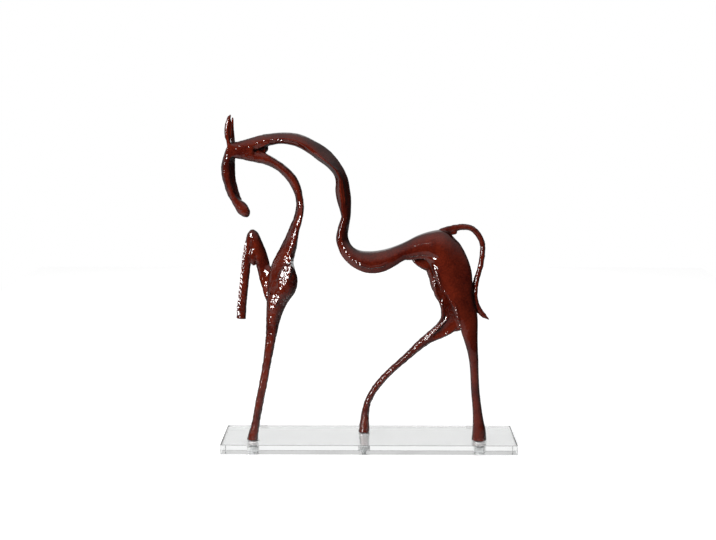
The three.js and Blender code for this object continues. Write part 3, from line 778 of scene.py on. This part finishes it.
def clearPlate():
    block = plateBlock()
    cutters = drills()
    for cutter in cutters:
        cut = block.modifiers.new(cutter.name, "BOOLEAN")
        cut.operation = "DIFFERENCE"
        cut.solver = "EXACT"
        cut.object = cutter
    mesh = appliedMesh(block, "clear_plate")
    for spare in (block, *cutters):
        bpy.data.objects.remove(spare)
    obj = newObject("clear_plate", mesh, acrylic("clearAcrylic", clear["colour"], 0, 1))
    mesh.materials.append(acrylic("drilledAcrylic", clear["drilledColour"], clear["drilledRoughness"],
                                  clear["drilledThrough"]))
    mesh.set_sharp_from_angle(angle=math.radians(plate["sharpOver"]))
    places = [footPlace(foot) for foot in feet]
    for face in mesh.polygons:
        drilled = any((face.center - place).xy.length < plate["bore"] / 2 + plate["near"] for place in places)
        outside = min(face.center.z - plateLow.z, plateHigh.z - face.center.z) < plate["near"]
        face.material_index = int(drilled and not outside)
        face.use_smooth = max(abs(side) for side in face.normal) < plate["level"]     # level faces stay flat
    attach(obj, "root")
    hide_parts("base_plate")
    return obj


clearPlate()
print("plate made")


# Zinc-plated screws and washers keep the frame's own shapes

zinc = {
    "colour": (0.66, 0.67, 0.69, 1),
    "roughness": 0.32,
}


def zincMaterial():
    material, tree, out = newMaterial("zincSteel")
    shader = addNode(tree, "ShaderNodeBsdfPrincipled", (200, 0), Roughness=zinc["roughness"], Metallic=1.0)
    shader.inputs["Base Color"].default_value = zinc["colour"]
    tree.links.new(shader.outputs["BSDF"], out.inputs["Surface"])
    return material


def dress(name, material):
    mesh = nodes[name].data
    mesh.materials.clear()
    mesh.materials.append(material)


zincSteel = zincMaterial()
for foot in feet:
    dress(foot + "_foot_washer", zincSteel)
    dress(foot + "_foot_screw", zincSteel)


# Floor, studio light and camera

studio = {
    "floorSize": (1.3, 1.75),
    "floorAt": (0, 0.425),         # its front edge lies just below the picture
    "floorDrop": 0.0002,
    "floorColour": (0.4, 0.4, 0.4, 1),
    "floorGlow": 0.85,           # as the camera sees it
    "floorThrough": 0.40,        # as it shows through the clear plate
    "floorCard": {"at": (-0.34, -0.05, 0), "glow": 0.35, "fade": (0.13, 0.42)},     # what the lacquer mirrors
    "fill": 0.06,                # soft light from all round
    "gloom": 0.03,               # what the lacquer mirrors of the dark room around
    "sky": 0.50,                 # and of the pale ceiling above it
    "skyRise": (0.1, 0.95),      # how high one looks where it begins and is full
    "wall": {"at": (0, 1.3, 0.8), "turn": (90, 0, 0), "size": (0.66, 1.62), "glow": 0.95},
    "overhead": {"at": (0.35, 0.3, 1.5), "turn": (0, 0, 0), "size": (3.2, 2.6), "watts": 13},
    "side": {"at": (-1.27, 0.55, 0.25), "turn": (90, 0, -113), "size": (0.9, 1.3), "watts": 1.4},
    "strip": {"at": (-0.98, -1.15, 0.60), "turn": (77, 0, -40.5), "size": (0.30, 0.54), "watts": 24},
}


def softGlow(name, strength):
    material, tree, out = newMaterial(name)
    glow = addNode(tree, "ShaderNodeEmission", (100, 0), Strength=strength)
    tree.links.new(glow.outputs["Emission"], out.inputs["Surface"])
    return material


def floorMaterial():
    material, tree, out = newMaterial("paleFloor")
    lit = addNode(tree, "ShaderNodeBsdfDiffuse", (100, 100))
    lit.inputs["Color"].default_value = studio["floorColour"]
    path = addNode(tree, "ShaderNodeLightPath", (-500, -200))
    through = addNode(tree, "ShaderNodeMath", (-250, -300), operation="MULTIPLY")
    through.inputs[1].default_value = studio["floorThrough"]
    mirrored = addNode(tree, "ShaderNodeMath", (-250, -500), operation="SUBTRACT", use_clamp=True)
    card = studio["floorCard"]
    place = addNode(tree, "ShaderNodeTexCoord", (-900, -700))
    away = addNode(tree, "ShaderNodeVectorMath", (-700, -700), operation="DISTANCE")
    away.inputs[1].default_value = Vector(card["at"]) - Vector((*studio["floorAt"], 0))
    near = addNode(tree, "ShaderNodeMapRange", (-500, -700), interpolation_type="SMOOTHSTEP",
                   From_Min=card["fade"][0], From_Max=card["fade"][1], To_Min=card["glow"], To_Max=0)
    cardGlow = addNode(tree, "ShaderNodeMath", (-50, -400), operation="MULTIPLY_ADD")
    level = addNode(tree, "ShaderNodeMath", (50, -100), operation="MULTIPLY_ADD")
    level.inputs[1].default_value = studio["floorGlow"]
    glow = addNode(tree, "ShaderNodeEmission", (200, -100))
    both = addNode(tree, "ShaderNodeAddShader", (450, 0))
    links = tree.links
    links.new(place.outputs["Object"], away.inputs[0])
    links.new(away.outputs["Value"], near.inputs[0])
    links.new(path.outputs["Is Camera Ray"], level.inputs[0])
    links.new(path.outputs["Is Transmission Ray"], through.inputs[0])
    links.new(path.outputs["Is Glossy Ray"], mirrored.inputs[0])
    links.new(path.outputs["Is Transmission Ray"], mirrored.inputs[1])
    links.new(mirrored.outputs[0], cardGlow.inputs[0])
    links.new(near.outputs[0], cardGlow.inputs[1])
    links.new(through.outputs[0], cardGlow.inputs[2])
    links.new(cardGlow.outputs[0], level.inputs[2])
    links.new(level.outputs[0], glow.inputs["Strength"])
    links.new(lit.outputs["BSDF"], both.inputs[0])
    links.new(glow.outputs["Emission"], both.inputs[1])
    links.new(both.outputs["Shader"], out.inputs["Surface"])
    return material


def sheet(name, size, at, turn, material):
    bm = bmesh.new()
    bmesh.ops.create_grid(bm, x_segments=1, y_segments=1, size=0.5)
    bmesh.ops.scale(bm, vec=(size[0], size[1], 1), verts=bm.verts)
    obj = newObject(name, meshFrom(bm, name), material)
    obj.location = at
    obj.rotation_euler = [math.radians(angle) for angle in turn]
    return obj


def softbox(name, values):
    lamp = bpy.data.lights.new(name, "AREA")
    lamp.shape = "RECTANGLE"
    lamp.size, lamp.size_y = values["size"]
    lamp.energy = values["watts"]
    obj = bpy.data.objects.new(name, lamp)
    bpy.context.scene.collection.objects.link(obj)
    obj.location = values["at"]
    obj.rotation_euler = [math.radians(angle) for angle in values["turn"]]
    return obj


sheet("floor", studio["floorSize"], (*studio["floorAt"], plateLow.z - studio["floorDrop"]), (0, 0, 0),
      floorMaterial())
wall = studio["wall"]
backWall = sheet("backWall", wall["size"], wall["at"], wall["turn"], softGlow("wallGlow", wall["glow"]))
backWall.visible_camera = False
overhead = softbox("overhead", studio["overhead"])
overhead.visible_glossy = False
softbox("side", studio["side"])
softbox("strip", studio["strip"])


def studioWorld():
    world = bpy.data.worlds.new("studio")
    bpy.context.scene.world = world
    world.use_nodes = True
    tree = world.node_tree
    tree.nodes.clear()
    out = addNode(tree, "ShaderNodeOutputWorld", (700, 0))
    path = addNode(tree, "ShaderNodeLightPath", (-500, 0))
    seen = addNode(tree, "ShaderNodeMath", (-250, 0), operation="MAXIMUM")
    fill = addNode(tree, "ShaderNodeBackground", (0, 150), Strength=studio["fill"])
    gloom = addNode(tree, "ShaderNodeBackground", (0, 0))
    way = addNode(tree, "ShaderNodeTexCoord", (-900, -300))
    height = addNode(tree, "ShaderNodeSeparateXYZ", (-700, -300))
    ceiling = addNode(tree, "ShaderNodeMapRange", (-450, -300), interpolation_type="SMOOTHSTEP",
                      From_Min=studio["skyRise"][0], From_Max=studio["skyRise"][1],
                      To_Min=studio["gloom"], To_Max=studio["sky"])
    white = addNode(tree, "ShaderNodeBackground", (0, -150), Strength=1)
    for background in (fill, gloom, white):
        background.inputs["Color"].default_value = (1, 1, 1, 1)
    mirrored = addNode(tree, "ShaderNodeMixShader", (250, 100))
    pick = addNode(tree, "ShaderNodeMixShader", (480, 0))
    links = tree.links
    links.new(way.outputs["Generated"], height.inputs[0])
    links.new(height.outputs["Z"], ceiling.inputs[0])
    links.new(ceiling.outputs[0], gloom.inputs["Strength"])
    links.new(path.outputs["Is Camera Ray"], seen.inputs[0])
    links.new(path.outputs["Is Transmission Ray"], seen.inputs[1])
    links.new(path.outputs["Is Glossy Ray"], mirrored.inputs[0])
    links.new(fill.outputs[0], mirrored.inputs[1])
    links.new(gloom.outputs[0], mirrored.inputs[2])
    links.new(seen.outputs[0], pick.inputs[0])
    links.new(mirrored.outputs[0], pick.inputs[1])
    links.new(white.outputs[0], pick.inputs[2])
    links.new(pick.outputs[0], out.inputs["Surface"])


studioWorld()

view = {
    "at": (0.0037, -1.3858, 0.3835),
    "turn": (81.75, 0, 0.62),
    "lens": 69.235,
    "sensor": 36,
}
camera = bpy.data.cameras.new("camera")
camera.lens = view["lens"]
camera.sensor_width = view["sensor"]
cameraObject = bpy.data.objects.new("camera", camera)
bpy.context.scene.collection.objects.link(cameraObject)
cameraObject.location = view["at"]
cameraObject.rotation_euler = [math.radians(angle) for angle in view["turn"]]
bpy.context.scene.camera = cameraObject
bpy.context.scene.view_settings.view_transform = "Standard"
print("studio set")
